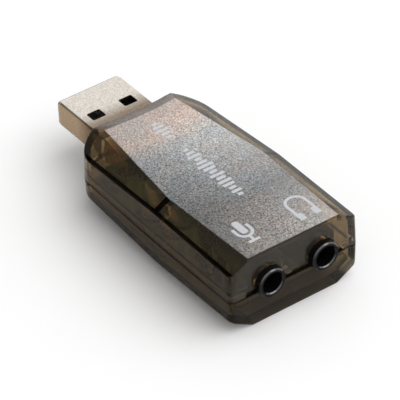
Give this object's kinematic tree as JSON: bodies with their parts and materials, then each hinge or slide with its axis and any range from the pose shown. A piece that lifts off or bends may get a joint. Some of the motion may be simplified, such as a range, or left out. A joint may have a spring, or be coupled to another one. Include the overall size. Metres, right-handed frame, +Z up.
{
  "type": "usb sound card",
  "caption": "Stick-shaped USB audio adapter: steel type A plug at one end, two 3.5 mm sockets at the other, in a faceted translucent smoke-brown housing.",
  "frame": {"origin": "under the middle of the whole part, on the surface that it lies on", "axes": "+X from the plug tip to the sockets, +Z up out of the frosted top face, +Y to the headphone socket's side"},
  "size_m": [0.0558, 0.0244, 0.013],
  "materials": {
    "smoke_plastic": "translucent smoke brown, clear facets, frosted top",
    "plug_steel": "nickel plated sheet",
    "insulator_plastic": "black moulding",
    "board_laminate": "green solder mask",
    "chip_mould": "matt black",
    "tinned_lead": "tin plated",
    "crystal_steel": "drawn can",
    "can_aluminium": "bare drawn can",
    "base_plastic": "black moulding",
    "capacitor_ceramic": "tan ceramic",
    "resistor_ceramic": "black glaze",
    "led_resin": "pale resin",
    "socket_plastic": "polished black moulding",
    "contact_gold": "gold flash",
    "spring_brass": "plated spring strip"
  },
  "bodies": {
    "root": {"upper_shell": "smoke_plastic", "lower_shell": "smoke_plastic", "usb_shell": "plug_steel", "usb_insulator": "insulator_plastic", "circuit_board": "board_laminate", "codec_chip": "chip_mould", "codec_leads": "tinned_lead", "crystal_can": "crystal_steel", "electrolytic_cans": "can_aluminium", "electrolytic_bases": "base_plastic", "ceramic_capacitors": "capacitor_ceramic", "chip_resistors": "resistor_ceramic", "status_led": "led_resin", "headphone_jack_body": "socket_plastic", "microphone_jack_body": "socket_plastic", "usb_contact_vbus": "contact_gold", "usb_contact_data_minus": "contact_gold", "usb_contact_data_plus": "contact_gold", "usb_contact_ground": "contact_gold", "headphone_jack_sleeve_spring": "spring_brass", "headphone_jack_ring_spring": "spring_brass", "headphone_jack_tip_spring": "spring_brass", "microphone_jack_sleeve_spring": "spring_brass", "microphone_jack_ring_spring": "spring_brass", "microphone_jack_tip_spring": "spring_brass"}
  },
  "joints": []
}
